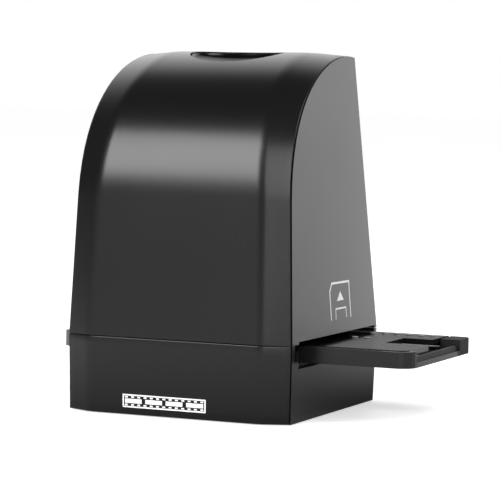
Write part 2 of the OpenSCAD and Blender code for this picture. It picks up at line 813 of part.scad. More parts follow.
module sensor_screws() {
    color([0.6, 0.6, 0.62]) translate([0, film_y, sensor_board_z + board_t])
        corners(sensor_px, sensor_py) screw(board_head_r, small_head_h, pilot_r, small_screw_l);
}

// ================= main board =================

module main_board() {
    color([0.1, 0.35, 0.2]) on_back() difference() {
        translate([-main_l / 2, -main_d - board_t, main_v0]) cube([main_l, board_t, main_h]);
        for (sx = [-1, 1], v = [main_pv0, main_pv1]) translate([sx * main_px, -far / 2, v])
            rotate([-90, 0, 0]) cylinder(r = pilot_r + screw_gap, h = far);
    }
}

module processor_chip() {
    color([0.08, 0.08, 0.08]) on_back() translate([processor_x, -main_d, main_v0 + chip_v])
        cube([processor_l, processor_t, chip_w]);
}

module memory_chip() {
    color([0.08, 0.08, 0.08]) on_back() translate([memory_x, -main_d, main_v0 + chip_v])
        cube([memory_l, memory_t, chip_w]);
}

module ribbon_sockets() {
    color([0.85, 0.83, 0.75]) on_back() for (x = [0, button_ribbon_x]) difference() {
        translate([x - ribbon_w / 2 - socket_wall, -main_d, ribbon_v - socket_low])
            cube([ribbon_w + 2 * socket_wall, socket_t, socket_w]);
        translate([x - ribbon_w / 2 - 0.2, -ribbon_d - 0.2, ribbon_v - 1])
            cube([ribbon_w + 0.4, ribbon_t + 0.5, far]);
    }
}

module main_board_screws() {
    color([0.6, 0.6, 0.62]) on_back() for (sx = [-1, 1], v = [main_pv0, main_pv1])
        translate([sx * main_px, -main_d - board_t, v]) rotate([90, 0, 0])
            screw(board_head_r, small_head_h, pilot_r, small_screw_l);
}

// Socket for the lead: a metal shell with a tongue inside, flush with the back
module usb_socket() {
    deep = main_d - 0.3;
    rim = 0.4;
    end = 1.2;          // closed end of the shell, and the tongue's setback
    beside = 1.4;
    tongue_h = 1;
    color([0.7, 0.7, 0.72]) on_back() translate([0, -main_d, usb_v]) difference() {
        translate([-usb_l / 2, 0, -usb_h / 2]) cube([usb_l, deep, usb_h]);
        difference() {
            translate([-usb_l / 2 + rim, end, -usb_h / 2 + rim])
                cube([usb_l - 2 * rim, far, usb_h - 2 * rim]);
            translate([-usb_l / 2 + beside, 0, -tongue_h / 2]) cube([usb_l - 2 * beside, deep - end, tongue_h]);
        }
    }
}

// Flat cable of thickness ribbon_t along a line of points in y and z
module ribbon(line, w) {
    t = ribbon_t / 2;
    dir = [for (i = [0 : len(line) - 1]) let (
        a = line[max(i - 1, 0)], b = line[min(i + 1, len(line) - 1)]) (b - a) / norm(b - a)];
    side = [for (d = dir) [-d[1], d[0]] * t];
    along_x(concat([for (i = [0 : len(line) - 1]) line[i] + side[i]],
                   [for (i = [len(line) - 1 : -1 : 0]) line[i] - side[i]]), w);
}

// Quarter bend between two straight stretches of a ribbon
function bend(a, corner, b, n) = [for (i = [0 : n]) let (t = i / n)
    a * pow(1 - t, 2) + corner * 2 * t * (1 - t) + b * t * t];

module sensor_ribbon() {
    z = sensor_board_z + board_t + ribbon_t / 2 + 0.05;
    y = film_y + sensor_board_w / 2;
    turn = back_pt((z - ridge_z) / cos(back_angle) + ribbon_d * tan(back_angle), ribbon_d - ribbon_t / 2);
    low = back_pt(ribbon_v - 0.6, ribbon_d - ribbon_t / 2);
    color([0.85, 0.55, 0.2]) ribbon(concat([[y - ribbon_on, z]],
        bend([y + 0.4, z], turn, mix(turn, low, 0.14), 5), [low]), ribbon_w);
}

module button_ribbon() {
    z = button_board_z + button_board_t + ribbon_t / 2 + 0.05;
    turn = back_pt((z - ridge_z) / cos(back_angle) + ribbon_d * tan(back_angle), ribbon_d - ribbon_t / 2);
    low = back_pt(ribbon_v - 0.6, ribbon_d - ribbon_t / 2);
    color([0.85, 0.55, 0.2]) translate([button_ribbon_x, 0, 0])
        ribbon(concat([[button_y + button_board_w / 2 - button_ribbon_on, z]],
            bend([turn[0] - button_ribbon_turn, z], turn, mix(turn, low, 0.1), 5), [low]), ribbon_w - 2);
}

// ================= scan button =================

module button_cup() {
    back = shell_t + play;
    low = guide_z;
    under = shell_t + 0.05;     // the cup seats against the inside of the cover
    seat = cover_line(under, low);
    color([0.1, 0.1, 0.1]) difference() {
        union() {
            intersection() {
                oval(well_l + 2 * cup_wall, well_w + 2 * cup_wall, cup_floor - cup_floor_t, far);
                along_x(concat([[seat[0][0], low]], seat, [[rear_y(body_h) - back, body_h - under],
                                                           [rear_y(low) - back, low]]), far);
            }
            translate([0, button_y, guide_z]) cylinder(r = stem_r + guide_wall, h = cup_floor - guide_z - 0.5);
            for (sx = [-1, 1]) translate([sx * leg_x, button_y, switch_z])
                cylinder(r = leg_r, h = cup_floor - switch_z - 0.5);
        }
        oval(well_l, well_w, cup_floor, far);
        translate([0, button_y, guide_z - 1]) cylinder(r = stem_r + fit, h = far);
        for (sx = [-1, 1]) translate([sx * leg_x, button_y, switch_z - 1])
            cylinder(r = pilot_r, h = button_screw_l + 1);
    }
}

module scan_button() {
    l = well_l - 2 * button_gap;
    w = well_w - 2 * button_gap;
    face = cover_line(rim_in, button_low);
    // front and rear end of the rim, and the dish's centre square above the line between them
    y0 = button_y - w / 2;
    y1 = button_y + w / 2;
    z0 = lookup(y0, face);
    z1 = body_h - rim_in;
    tilt = atan((z1 - z0) / (y1 - y0));
    up = dish_r - dish_deep;
    color([0.03, 0.03, 0.03]) union() {
        difference() {
            intersection() {
                oval(l, w, button_low, far);
                along_x(concat([[face[0][0], button_low - 1]], face,
                               [[rear, z1], [rear, button_low - 1]]), far);
            }
            translate([0, (y0 + y1) / 2 - up * sin(tilt), (z0 + z1) / 2 + up * cos(tilt)])
                sphere(r = dish_r, $fn = 96);
            translate([0, button_y, button_low - 1]) cylinder(r = pocket_r, h = pocket_z - button_low + 1);
        }
        translate([0, button_y, stem_low]) cylinder(r = stem_r, h = pocket_z - stem_low + 1);
        translate([0, button_y, stem_low]) cylinder(r = stem_r + collar_out, h = collar_h);
    }
}

// Coil spring between the cup's floor and the roof of the button's pocket
module button_spring() {
    wire = 0.3;
    r = stem_r + 1.5;
    turns = 3;
    steps = 16;
    z0 = cup_floor + wire + 0.05;
    z1 = pocket_z - wire - 0.05;
    color([0.75, 0.75, 0.77]) translate([0, button_y, 0]) loft([for (i = [0 : turns * steps])
        let (a = i * 360 / steps, z = mix(z0, z1, i / (turns * steps)))
        [for (k = [0 : 5]) [(r + wire * cos(k * 60)) * cos(a), (r + wire * cos(k * 60)) * sin(a),
                            z + wire * sin(k * 60)]]]);
}

module button_board() {
    color([0.1, 0.35, 0.2]) translate([0, button_y, 0]) difference() {
        translate([-2, 0, 0]) block(button_board_l + 4, button_board_w, button_board_z, button_board_t);
        for (sx = [-1, 1]) translate([sx * leg_x, 0, 0]) cylinder(r = pilot_r + screw_gap, h = far);
    }
}

module button_board_screws() {
    color([0.6, 0.6, 0.62]) for (sx = [-1, 1]) translate([sx * leg_x, button_y, button_board_z])
        mirror([0, 0, 1]) screw(board_head_r, small_head_h, pilot_r, button_screw_l);
}

module switch_body() {
    color([0.15, 0.15, 0.15]) translate([0, button_y, 0]) difference() {
        block(switch_w, switch_w, switch_z, switch_h);
        translate([0, 0, switch_z + 0.6]) cylinder(r = plunger_r + fit, h = far);
    }
}

module switch_plunger() {
    color([0.9, 0.9, 0.9]) translate([0, button_y, plunger_top - plunger_h])
        cylinder(r = plunger_r, h = plunger_h);
}

// ================= film holder =================

chamfer = 6;
lid_gap = play;
film_gap = 0.4;       // between the base plate and the lid's pressing frame
bore_l = 6;           // bore for a hinge pin in each end of the lid
pin_in = 1.5;         // solid end of the holder outside each pin
lid_x0 = holder_x0 + holder_wall + lid_gap;
lid_x1 = holder_out - holder_wall - lid_gap;
lid_y0 = holder_y0 + holder_wall + lid_gap;
knuckle_r = 1.9;
hinge_y = holder_y1 - knuckle_r - 0.9;
hinge_z = holder_top - knuckle_r;
block_l = 7.5;        // length of the end block at the hinge
block_w = 12;
left_block_l = 6.6;
left_block_w = 6.5;
far_limb = holder_out - block_l - lid_gap;
finger_y0 = film_y - 7.3;
finger_x0 = lid_x1 - finger_l;
finger_step = 2;
crossbar_w = 3.5;
tab_l = 5;
tab_in = 13.5;        // middle of each tab from the end of the holder
tab_xs = [holder_x0 + tab_in, holder_out - tab_in];
pip_x0 = holder_out - 34.5;
pip_step = 4.6;
pip_r = 1.1;
pip_h = 0.35;
pips_rear = 6;
pips_in = 5.5;        // rear row, in front of the hinge
pips_front = 2;
pips_front_y = 5;     // front row, behind the middle of the film
lid_tail = 5;         // the lid's plate beside the left block
lid_chamfer_in = 1.3;
press_rim = 7;        // border of the pressing frame round the windows

// Corner arc from angle a0 to a1 round a centre
function arc(c, r, a0, a1, n) = [for (i = [0 : n]) let (a = mix(a0, a1, i / n))
    c + r * [cos(a), sin(a)]];

// Outline of the holder in plan, drawn in by s
function holder_plan(s) = let (r = holder_r - s, k = 0.414 * s) concat(
    [[holder_x0 + s, holder_y1 - s], [holder_x0 + s, holder_y0 + chamfer + k],
     [holder_x0 + chamfer + k, holder_y0 + s]],
    arc([holder_out - holder_r, holder_y0 + holder_r], r, -90, 0, 6),
    arc([holder_out - holder_r / 2, holder_y1 - holder_r / 2], max(holder_r / 2 - s, 0.3), 0, 90, 4));

module film_windows(z0) {
    for (sx = [-1, 1]) translate([sx * pitch / 2, film_y, 0]) block(window_l, window_w, z0, far);
}

module holder_base() {
    color([0.10, 0.10, 0.11]) difference() {
        union() {
            translate([0, 0, holder_z]) linear_extrude(height = plate_t) polygon(holder_plan(0));
            // front and left walls
            intersection() {
                translate([0, 0, holder_z]) linear_extrude(height = wall_top - holder_z) difference() {
                    polygon(holder_plan(0));
                    polygon(holder_plan(holder_wall));
                }
                union() {
                    translate([-far, holder_y0 - 1, 0]) cube([2 * far, holder_r + 1, far]);
                    translate([holder_x0 - 1, holder_y0, 0]) cube([holder_wall + 1.5, holder_w - 1, far]);
                }
            }
            // blocks that hold the hinge pins
            intersection() {
                translate([holder_out - block_l, holder_y1 - block_w, holder_z])
                    cube([block_l, block_w, wall_top - holder_z]);
                translate([0, 0, holder_z]) linear_extrude(height = far) polygon(holder_plan(0));
            }
            translate([holder_x0, holder_y1 - left_block_w, holder_z])
                cube([left_block_l, left_block_w, wall_top - holder_z]);
        }
        film_windows(holder_z - 1);
        // way through for the finger, open under the notch of the lid
        translate([finger_x0 + finger_step, finger_y0, holder_z - 1])
            cube([holder_out - crossbar_w - finger_x0 - finger_step, finger_w, far]);
        for (x = tab_xs) translate([x - tab_l / 2 - play, holder_y0 + 0.9, holder_top - lid_t - 2 * play])
            cube([tab_l + 2 * play, holder_wall, far]);
        for (sx = [-1, 1]) translate([sx * pitch / 2, leaf_y, holder_z - 0.9])
            rotate([90, 0, 0]) cylinder(r = groove_r, h = leaf_w + 2, center = true);
        translate([0, hinge_y, hinge_z]) {
            rod_x(hinge_r + 0.02, holder_x0 + pin_in, holder_x0 + left_block_l + 1);
            rod_x(hinge_r + 0.02, holder_out - block_l - 1, holder_out - pin_in);
        }
    }
}

// One pip of a row on the lid
module pip(i, y) {
    translate([pip_x0 + i * pip_step, y, holder_top - 0.2]) cylinder(r = pip_r, h = pip_h + 0.2, $fn = 24);
}

module holder_lid() {
    plate_z = holder_top - lid_t;
    r = holder_r - holder_wall - lid_gap;
    left = holder_x0 + left_block_l + lid_gap;
    color([0.62, 0.62, 0.63]) difference() {
        union() {
            translate([0, 0, plate_z]) linear_extrude(height = lid_t) polygon(concat(
                [[lid_x0, hinge_y - lid_tail], [lid_x0, holder_y0 + chamfer + lid_chamfer_in],
                 [holder_x0 + chamfer + lid_chamfer_in, lid_y0]],
                arc([holder_out - holder_r, holder_y0 + holder_r], r, -90, 0, 5),
                [[lid_x1, finger_y0], [finger_x0, finger_y0], [finger_x0, finger_y0 + finger_w],
                 [far_limb, finger_y0 + finger_w], [far_limb, hinge_y], [left, hinge_y],
                 [left, hinge_y - lid_tail]]));
            // pressing frame that holds the film flat
            translate([0, film_y, 0])
                block(2 * pitch + 2, window_w + 2 * press_rim, film_z + film_gap, plate_z - film_z);
            translate([0, hinge_y, hinge_z]) rod_x(knuckle_r, left, far_limb);
            for (x = tab_xs) translate([x - tab_l / 2, holder_y0 + 1.2, plate_z])
                cube([tab_l, holder_wall, lid_t - 0.4]);
            // rows of grip pips
            for (i = [0 : pips_rear - 1]) pip(i, hinge_y - pips_in);
            for (i = [0 : pips_front - 1]) pip(i, film_y + pips_front_y);
        }
        film_windows(film_z - 1);
        translate([0, hinge_y, hinge_z]) rod_x(hinge_r + fit, left - 1, left + bore_l);
        translate([0, hinge_y, hinge_z]) rod_x(hinge_r + fit, far_limb - bore_l, far_limb + 1);
    }
}

module hinge_pins() {
    left = holder_x0 + left_block_l;
    color([0.7, 0.7, 0.72]) translate([0, hinge_y, hinge_z]) {
        rod_x(hinge_r, holder_x0 + pin_in + 0.2, left + bore_l - 1);
        rod_x(hinge_r, far_limb - bore_l + 1, holder_out - pin_in - 0.2);
    }
}

base_tub();
base_front();
front_cover();
rear_housing();
rubber_pad();
case_screws();
holder_channel();
channel_screws();
detent_spring();
light_box();
diffuser();
led_board();
backlight_leds();
led_board_screws();
camera_shroud();
shroud_screws();
lens_mount();
lens_barrel();
lens_glass();
sensor_board();
image_sensor();
sensor_screws();
main_board();
processor_chip();
memory_chip();
ribbon_sockets();
main_board_screws();
usb_socket();
sensor_ribbon();
button_ribbon();
button_cup();
scan_button();
button_spring();
button_board();
button_board_screws();
switch_body();
switch_plunger();
holder_base();
holder_lid();
hinge_pins();
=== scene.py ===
"""Looks of the film negative scanner: finishes, rounded mouldings, printed marks and the studio.

Sizes of pieces are in mm and turn into metres in add_mesh. Materials, stage and camera are
in metres.
"""
import json
import math

import bmesh
import bpy
from mathutils import Matrix, Vector


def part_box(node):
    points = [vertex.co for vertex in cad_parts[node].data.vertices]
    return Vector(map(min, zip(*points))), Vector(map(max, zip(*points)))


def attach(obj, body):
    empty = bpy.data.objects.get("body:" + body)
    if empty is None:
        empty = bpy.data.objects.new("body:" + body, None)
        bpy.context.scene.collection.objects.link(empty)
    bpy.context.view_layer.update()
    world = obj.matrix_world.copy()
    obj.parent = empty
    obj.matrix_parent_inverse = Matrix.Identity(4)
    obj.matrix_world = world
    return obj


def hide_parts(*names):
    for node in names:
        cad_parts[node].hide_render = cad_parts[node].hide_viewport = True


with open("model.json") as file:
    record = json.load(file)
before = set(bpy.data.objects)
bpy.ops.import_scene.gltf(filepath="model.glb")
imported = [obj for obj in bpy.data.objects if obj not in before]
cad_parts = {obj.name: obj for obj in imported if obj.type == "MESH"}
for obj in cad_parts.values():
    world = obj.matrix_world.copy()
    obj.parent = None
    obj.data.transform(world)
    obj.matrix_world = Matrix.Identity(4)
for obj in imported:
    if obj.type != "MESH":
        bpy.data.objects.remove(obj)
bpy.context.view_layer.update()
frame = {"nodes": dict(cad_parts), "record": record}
nodes = frame["nodes"]

MM = 0.001

# ---------------------------------------------------------------- sizes of the case, in mm
BODY_W, BODY_D, BODY_H = 85.0, 85.0, 127.0
# How far each side leans in at the top, and how far sides and front draw in at the foot
SIDE_LEAN, FOOT_SIDE, FOOT_FRONT = 3.9, 0.4, 0.5
BACK_ANGLE = 10.5
BASE_Z, RIDGE_Z = 0.3, 27.2
SHELL, SEAM = 2.2, 0.2
# Where the cover's curve starts, and the handles of the curve
NOSE_Z, FRONT_LEAN, NOSE_RISE, NOSE_RUN, TOP_FLAT = 76.5, 2.65, 37.5, 20.0, 10.0
# Bevel of the front corners: its width below and on top, its depth at ridge, nose and top
BEVEL_W, BEVEL_W_TOP, BEVEL_LOW, BEVEL_MID, BEVEL_TOP = 9.8, 13.5, 4.4, 3.4, 1.2
# The button's well and the floor of its cup
WELL_L, WELL_W, BUTTON_BACK, CUP_FLOOR = 35.2, 27.6, 16.4, 115.5
# The button: gap round it, foot of its skirt, drop of its rim, depth of its hollow and steep wall
BUTTON_GAP, BUTTON_LOW, RIM_IN, DISH_DEEP, DISH_WALL = 0.6, 117.2, 0.3, 3.7, 1.15
# The wall on the holder's end bar, measured from the box of the holder's base
END_WALL_X, END_WALL_FRONT, END_WALL_REAR = (1.9, 1.0), 5.5, 11.8
END_WALL_LOW, END_WALL_HIGH, END_WALL_EDGE = 1.5, 1.9, 0.2
# How far prints stand proud of the face
PRINT_UP = 0.03
# Points of an oval
ROUND = 128

FRONT, REAR = -BODY_D / 2, BODY_D / 2
TOP_W, FOOT_W = BODY_W - 2 * SIDE_LEAN, BODY_W - 2 * FOOT_SIDE
BACK_LEAN = (BODY_H - RIDGE_Z) * math.tan(math.radians(BACK_ANGLE))
BACK_TOP = REAR - BACK_LEAN
BUTTON_Y = BACK_TOP - BUTTON_BACK


def mix(a, b, u):
    return a + (b - a) * u


def half_w(z):
    """Half the case's width at height z."""
    if z > RIDGE_Z:
        return mix(BODY_W, TOP_W, (z - RIDGE_Z) / (BODY_H - RIDGE_Z)) / 2
    return mix(FOOT_W, BODY_W, (z - BASE_Z) / (RIDGE_Z - BASE_Z)) / 2


def rounded(a, c, b, n):
    """Points of a rounded corner from a to b round the corner point c."""
    out = []
    for i in range(n + 1):
        t = i / n
        out.append(tuple((1 - t) ** 2 * p + 2 * t * (1 - t) * q + t * t * r for p, q, r in zip(a, c, b)))
    return out


# ---------------------------------------------------------------- mesh helpers
def add_mesh(name, verts, faces, smooth=True):
    """A mesh object from points in mm."""
    mesh = bpy.data.meshes.new(name)
    mesh.from_pydata([Vector(v) * MM for v in verts], [], faces)
    bm = bmesh.new()
    bm.from_mesh(mesh)
    bmesh.ops.remove_doubles(bm, verts=bm.verts, dist=1e-7)
    bmesh.ops.recalc_face_normals(bm, faces=bm.faces)
    bm.to_mesh(mesh)
    bm.free()
    for polygon in mesh.polygons:
        polygon.use_smooth = smooth
    ob = bpy.data.objects.new(name, mesh)
    bpy.context.scene.collection.objects.link(ob)
    return ob


def grid(rings, closed=False):
    """Vertices and faces of a strip of rings that all have the same count of points."""
    n = len(rings[0])
    verts = [p for r in rings for p in r]
    faces = []
    for i in range(len(rings) - 1):
        for j in range(n if closed else n - 1):
            k = (j + 1) % n
            faces.append((i * n + j, i * n + k, (i + 1) * n + k, (i + 1) * n + j))
    return verts, faces


def apply_modifiers(ob):
    """Works the object's modifiers into its mesh."""
    graph = bpy.context.evaluated_depsgraph_get()
    mesh = bpy.data.meshes.new_from_object(ob.evaluated_get(graph))
    ob.modifiers.clear()
    ob.data = mesh


def soft_edges(ob, width, merge):
    """Small rounded edges on a moulded piece. A face with a window through it isn't merged,
    because a merged face can't hold the window."""
    weld = ob.modifiers.new("weld", "WELD")
    weld.merge_threshold = 0.02 * MM
    if merge:
        flat = ob.modifiers.new("flat", "DECIMATE")
        flat.decimate_type = "DISSOLVE"
        flat.angle_limit = math.radians(1)
    edges = ob.modifiers.new("edges", "BEVEL")
    edges.width = width * MM
    edges.segments = 2
    edges.limit_method = "ANGLE"
    edges.angle_limit = math.radians(30)
    edges.harden_normals = True
    edges.miter_outer = "MITER_ARC"


# ---------------------------------------------------------------- materials
# Noise for patches of colour, of gloss, and for the grain, whose scale each material sets
BLOTCH_NOISE = {"scale": 38.0, "detail": 3.0, "seed": 1.3}
GLOSS_NOISE = {"scale": 14.0, "detail": 4.0, "seed": 5.1}
GRAIN_NOISE = {"detail": 2.0, "seed": 2.2}
GRAIN_DEEP = 0.06 * MM
# Pointiness where wear starts and where it is full, and how much paler worn edges are
WEAR_FROM, WEAR_FULL, WORN_TIMES, WORN_LIFT = 0.53, 0.60, 3, 0.02
# Colour of rubbed marks, and the height over which it comes in
RUBBED, RUBBED_RISE = (0.42, 0.42, 0.42, 1), 0.1 * MM
# Where the loss of gloss round a place starts and ends, and the roughness it adds
DULL_IN, DULL_OUT, DULL_ROUGH = 8 * MM, 11 * MM, 0.45
# Middle of the holder's corner block, and a height between its lid's face and the raised marks
CORNER_BLOCK, MARKS_Z = (0.0768, 0.032, 0.0235), 0.0264


def node(tree, kind, inputs=None, **props):
    """A new shader node: props are set on it, inputs are linked if they are sockets."""
    n = tree.nodes.new("ShaderNode" + kind)
    for key, value in props.items():
        setattr(n, key, value)
    for key, value in (inputs or {}).items():
        if isinstance(value, bpy.types.NodeSocket):
            tree.links.new(value, n.inputs[key])
        else:
            n.inputs[key].default_value = value
    return n


def blank_material(name):
    mat = bpy.data.materials.new(name)
    mat.use_nodes = True
    mat.node_tree.nodes.clear()
    return mat


def material(name, color, rough, grain=0.0, grain_scale=2600.0, rough_var=0.0, blotch=0.0,
             metallic=0.0, ior=1.5, coat=0.0, wear=0.0, transmission=0.0, sub=0.0,
             dull=None, pale_above=None):
    """Moulded plastic, metal or glass: fine grain in the bump, slow changes in gloss and colour,
    a little wear along the edges. dull is a place round which the gloss is lost, and pale_above
    a height over which the raised marks are rubbed pale, both in metres."""
    mat = blank_material(name)
    tree = mat.node_tree
    place = node(tree, "TexCoord").outputs["Object"]

    def noise(scale, detail, seed):
        return node(tree, "TexNoise", {"Vector": place, "W": seed, "Scale": scale, "Detail": detail},
                    noise_dimensions="4D").outputs["Fac"]

    def ramp(value, lo, hi, a, b):
        return node(tree, "MapRange", {"Value": value, "From Min": lo, "From Max": hi,
                                       "To Min": a, "To Max": b}).outputs["Result"]

    def tint(k, lift=0.0):
        return [min(1, c * k + lift) for c in color] + [1]

    shade = node(tree, "Mix", data_type="RGBA")
    shade.inputs["A"].default_value = tint(1 - blotch)
    shade.inputs["B"].default_value = tint(1 + blotch)
    tree.links.new(noise(**BLOTCH_NOISE), shade.inputs["Factor"])
    out = shade.outputs["Result"]
    if wear:
        edge = node(tree, "NewGeometry").outputs["Pointiness"]
        worn = node(tree, "Mix", data_type="RGBA")
        tree.links.new(ramp(edge, WEAR_FROM, WEAR_FULL, 0.0, wear), worn.inputs["Factor"])
        tree.links.new(out, worn.inputs["A"])
        worn.inputs["B"].default_value = tint(WORN_TIMES, WORN_LIFT)
        out = worn.outputs["Result"]
    if pale_above:
        height = node(tree, "SeparateXYZ", {0: place}).outputs["Z"]
        rubbed = node(tree, "Mix", data_type="RGBA")
        share = ramp(height, pale_above, pale_above + RUBBED_RISE, 0.0, 1.0)
        tree.links.new(share, rubbed.inputs["Factor"])
        tree.links.new(out, rubbed.inputs["A"])
        rubbed.inputs["B"].default_value = RUBBED
        out = rubbed.outputs["Result"]
    gloss = ramp(noise(**GLOSS_NOISE), 0.3, 0.7, rough - rough_var, rough + rough_var)
    if dull:
        away = node(tree, "VectorMath", {0: place, 1: dull}, operation="DISTANCE").outputs["Value"]
        gloss = node(tree, "Math", {0: gloss, 1: ramp(away, DULL_IN, DULL_OUT, DULL_ROUGH, 0.0)},
                     operation="ADD").outputs[0]
    bsdf = node(tree, "BsdfPrincipled", {
        "Base Color": out, "Metallic": metallic, "IOR": ior, "Coat Weight": coat,
        "Coat Roughness": 0.06, "Transmission Weight": transmission,
        "Subsurface Weight": sub, "Subsurface Scale": 0.002,
        "Roughness": gloss})
    if grain:
        bump = node(tree, "Bump", {"Strength": grain, "Distance": GRAIN_DEEP,
                                   "Height": noise(grain_scale, **GRAIN_NOISE)})
        tree.links.new(bump.outputs["Normal"], bsdf.inputs["Normal"])
    node(tree, "OutputMaterial", {"Surface": bsdf.outputs[0]})
    return mat


MATS = {
    "case_front": material("satin_front", (0.005, 0.005, 0.0055), 0.26, grain=0.12,
                           rough_var=0.02, blotch=0.08, wear=0.15),
    "case_side": material("satin_side", (0.005, 0.005, 0.005), 0.34, grain=0.14,
                          rough_var=0.02, blotch=0.08, wear=0.15),
    "rubber": material("rubber", (0.02, 0.02, 0.02), 0.75, grain=0.6, grain_scale=1500,
                       rough_var=0.05, blotch=0.1),
    "steel": material("zinc_steel", (0.62, 0.62, 0.63), 0.3, grain=0.2, metallic=1,
                      rough_var=0.06, blotch=0.05),
    "spring_steel": material("spring_steel", (0.7, 0.7, 0.71), 0.22, grain=0.1, metallic=1,
                             rough_var=0.04, blotch=0.03),
    "inner_black": material("inner_black", (0.004, 0.004, 0.004), 0.6, grain=0.5,
                            grain_scale=1800, rough_var=0.05, blotch=0.1),
    "reflector_white": material("reflector_white", (0.82, 0.82, 0.8), 0.55, grain=0.3,
                                rough_var=0.05, blotch=0.02),
    "diffuser_white": material("diffuser_white", (0.85, 0.85, 0.84), 0.4, grain=0.1,
                               rough_var=0.03, blotch=0.01, sub=0.3),
    "board_white": material("board_white", (0.7, 0.71, 0.69), 0.4, grain=0.2,
                            rough_var=0.04, blotch=0.03),
    "lamp": material("lamp", (0.85, 0.72, 0.25), 0.3, grain=0.1, rough_var=0.03, blotch=0.06,
                     sub=0.2),
    "barrel_black": material("anodised_black", (0.015, 0.015, 0.015), 0.28, grain=0.2,
                             metallic=0.6, rough_var=0.04, blotch=0.05),
    "lens_glass": material("coated_glass", (0.75, 0.85, 0.95), 0.03, rough_var=0.01, blotch=0.02,
                           transmission=0.9, ior=1.55, coat=0.5),
    "board_green": material("board_green", (0.012, 0.09, 0.04), 0.32, grain=0.25,
                            rough_var=0.05, blotch=0.15, coat=0.3),
    "chip_black": material("chip_black", (0.018, 0.018, 0.018), 0.5, grain=0.4,
                           rough_var=0.04, blotch=0.05),
    "socket_cream": material("socket_cream", (0.68, 0.64, 0.5), 0.45, grain=0.2,
                             rough_var=0.03, blotch=0.03),
    "ribbon_orange": material("ribbon_orange", (0.5, 0.2, 0.03), 0.25, grain=0.1,
                              rough_var=0.05, blotch=0.08),
    "button_black": material("button_black", (0.002, 0.002, 0.002), 0.2, grain=0.05,
                             rough_var=0.02, blotch=0.05, ior=1.4),
    "plunger_white": material("plunger_white", (0.8, 0.8, 0.79), 0.4, grain=0.1,
                              rough_var=0.03, blotch=0.02),
    "holder_black": material("holder_black", (0.006, 0.006, 0.006), 0.3, grain=0.45,
                             grain_scale=1900, rough_var=0.05, blotch=0.1, wear=0.2,
                             dull=CORNER_BLOCK),
    "holder_gloss": material("holder_gloss", (0.005, 0.005, 0.005), 0.1, grain=0.12,
                             grain_scale=900, rough_var=0.05, blotch=0.1, wear=0.2,
                             pale_above=MARKS_Z),
    "print_white": material("print_white", (0.88, 0.88, 0.88), 0.5, grain=0.2,
                            rough_var=0.04, blotch=0.03),
}


def dress(ob, slot, body=None, finish=None):
    """Gives a piece its slot and material, and its body to ride on."""
    ob.data.materials.clear()
    ob.data.materials.append(MATS[finish or slot])
    if body:
        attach(ob, body)


for part in frame["record"]["subparts"]:
    dress(nodes[part["node"]], part["material_slot"])
for name, width in (("rear_housing", 0.15), ("base_tub", 0.3), ("holder_base", 0.25),
                    ("rubber_pad", 0.3), ("usb_socket", 0.1), ("camera_shroud", 0.3)):
    soft_edges(nodes[name], width, merge=True)
for name in ("holder_lid", "light_box"):
    soft_edges(nodes[name], 0.2, merge=False)

# ---------------------------------------------------------------- front shells
# Rows below the nose, along the curve and on the flat top, and the last one's way from the edge
LOW_ROWS, CURVE_ROWS, TOP_ROWS, LAST_ROW = 9, 56, 5, 0.8
NOSE_L = math.hypot(FRONT_LEAN, NOSE_Z - RIDGE_Z)
NOSE_DIR = (FRONT_LEAN / NOSE_L, (NOSE_Z - RIDGE_Z) / NOSE_L)
CURVE = ((FRONT + FRONT_LEAN, NOSE_Z),
         (FRONT + FRONT_LEAN + NOSE_DIR[0] * NOSE_RISE, NOSE_Z + NOSE_DIR[1] * NOSE_RISE),
         (BACK_TOP - TOP_FLAT - NOSE_RUN, BODY_H),
         (BACK_TOP - TOP_FLAT, BODY_H))


def curve_point(t):
    """The cover's curve from the nose to the top: (y, z)."""
    k = (1 - t) ** 3, 3 * t * (1 - t) ** 2, 3 * t * t * (1 - t), t ** 3
    return tuple(sum(w * p[i] for w, p in zip(k, CURVE)) for i in (0, 1))


def curve_normal(t):
    """The curve's outward direction: (y, z)."""
    k = (1 - t) ** 2, 2 * t * (1 - t), t * t
    dy, dz = (sum(w * (q[i] - p[i]) for w, p, q in zip(k, CURVE, CURVE[1:])) for i in (0, 1))
    length = math.hypot(dy, dz)
    return -dz / length, dy / length


def cover_rows():
    """Rows of the front cover, from ridge to rear edge:
    (y, z, normal y, normal z, bevel depth, bevel width)."""
    out = []
    for i in range(LOW_ROWS):
        u = i / LOW_ROWS
        out.append((mix(FRONT, CURVE[0][0], u), mix(RIDGE_Z, NOSE_Z, u), -NOSE_DIR[1], NOSE_DIR[0],
                    mix(BEVEL_LOW, BEVEL_MID, u), BEVEL_W))
    for i in range(CURVE_ROWS + 1):
        t = i / CURVE_ROWS
        bevel = (mix(BEVEL_MID, BEVEL_TOP, t * t), mix(BEVEL_W, BEVEL_W_TOP, t))
        out.append(curve_point(t) + curve_normal(t) + bevel)
    flat = [mix(CURVE[3][0], BACK_TOP - LAST_ROW, i / TOP_ROWS) for i in range(1, TOP_ROWS + 1)]
    for y in flat + [BACK_TOP]:
        out.append((y, BODY_H, 0.0, 1.0, BEVEL_TOP, BEVEL_W_TOP))
    return out


def half_section(depth, width, rim=0.3, crease=1.9, step=0.4):
    """Half section of a front shell: pairs (distance in from the side, depth below the face).
    It starts with a skirt inside the case. Its edge lies a small step in from the side wall,
    which darkens the parting line."""
    def face(dx):
        return depth * (1 - dx / width)

    skirt = ((SHELL + 0.2, SHELL + 0.1), (step + 0.35, 1.1), (step + 0.04, rim))
    pts = [(dx, depth + down) for dx, down in skirt]
    pts += rounded((step, depth + rim * 0.7), (step, face(step)), (step + rim, face(step + rim)), 4)
    pts += [(dx, face(dx)) for dx in (mix(step + rim, width - crease, i / 4) for i in range(1, 4))]
    pts += rounded((width - crease, face(width - crease)), (width, 0.0), (width + crease, 0.0), 10)
    return pts


